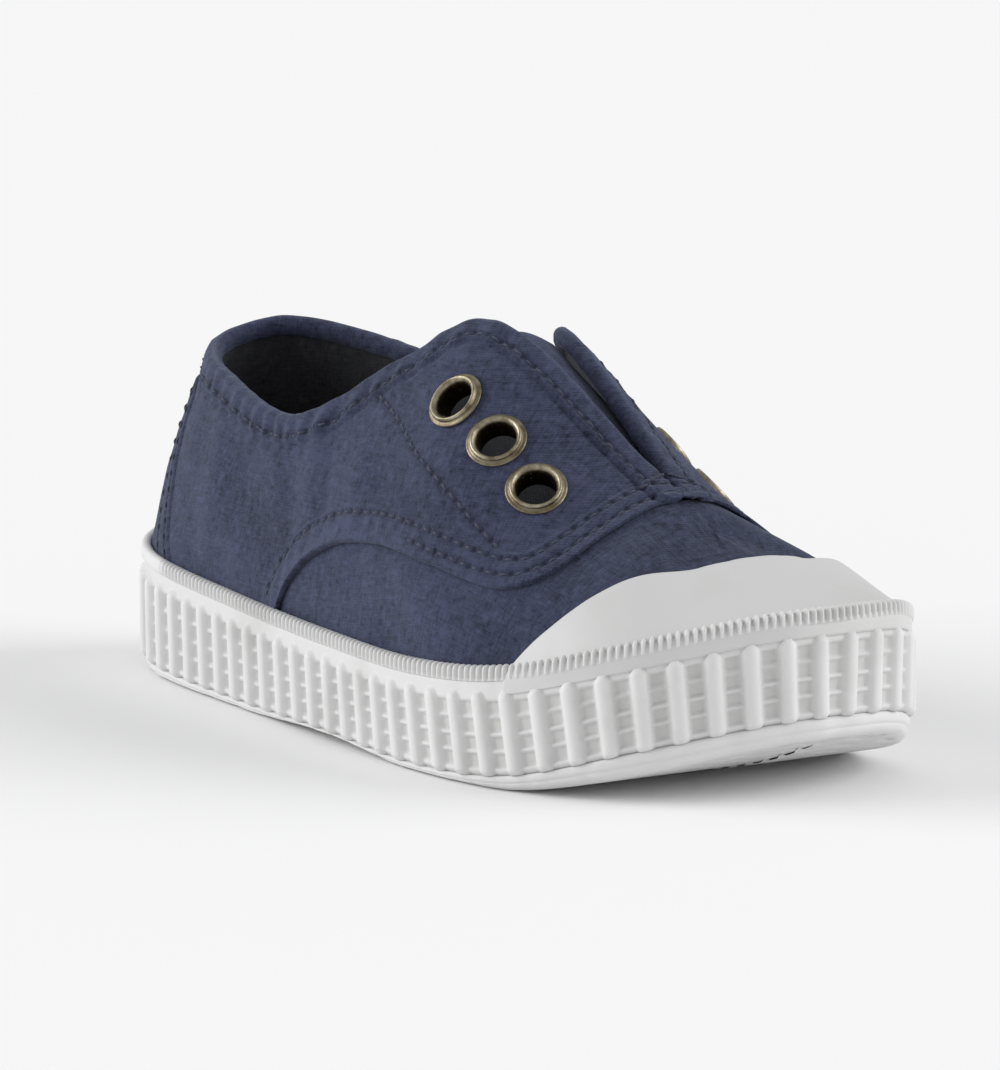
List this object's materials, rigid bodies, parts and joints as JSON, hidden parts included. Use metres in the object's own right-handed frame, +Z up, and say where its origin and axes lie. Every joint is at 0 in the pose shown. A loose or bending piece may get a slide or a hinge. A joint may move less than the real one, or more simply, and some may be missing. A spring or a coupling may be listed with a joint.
{
  "type": "canvas sneaker",
  "caption": "Low laceless canvas sneaker for a right foot: hollow cloth upper with open collar and throat, brass eyelets, ribbed rubber sidewall, rubber toe cap and lugged sole",
  "frame": {"origin": "middle of the shoe's bounding box in plan, on the floor that the sole stands on", "axes": "+X to the toe along the length, +Y to the wearer's left (the medial side of this right shoe), +Z up"},
  "size_m": [0.166, 0.0681, 0.0644],
  "materials": {
    "sole_rubber": "off-white moulded rubber, matt, light grime between the ribs",
    "cap_rubber": "off-white moulded rubber, satin, faintly rippled",
    "canvas": "washed navy plain-weave cotton canvas with tone-on-tone stitching",
    "lining": "near-black cotton lining and footbed cloth",
    "eyelet_brass": "aged dull brass"
  },
  "bodies": {
    "root": {"outsole": "sole_rubber", "band": "sole_rubber", "toe_cap": "cap_rubber", "upper": "canvas", "tongue": "canvas", "insole": "lining", "eyelet_lateral_1": "eyelet_brass", "eyelet_lateral_2": "eyelet_brass", "eyelet_lateral_3": "eyelet_brass", "eyelet_medial_1": "eyelet_brass", "eyelet_medial_2": "eyelet_brass", "eyelet_medial_3": "eyelet_brass"}
  },
  "joints": []
}
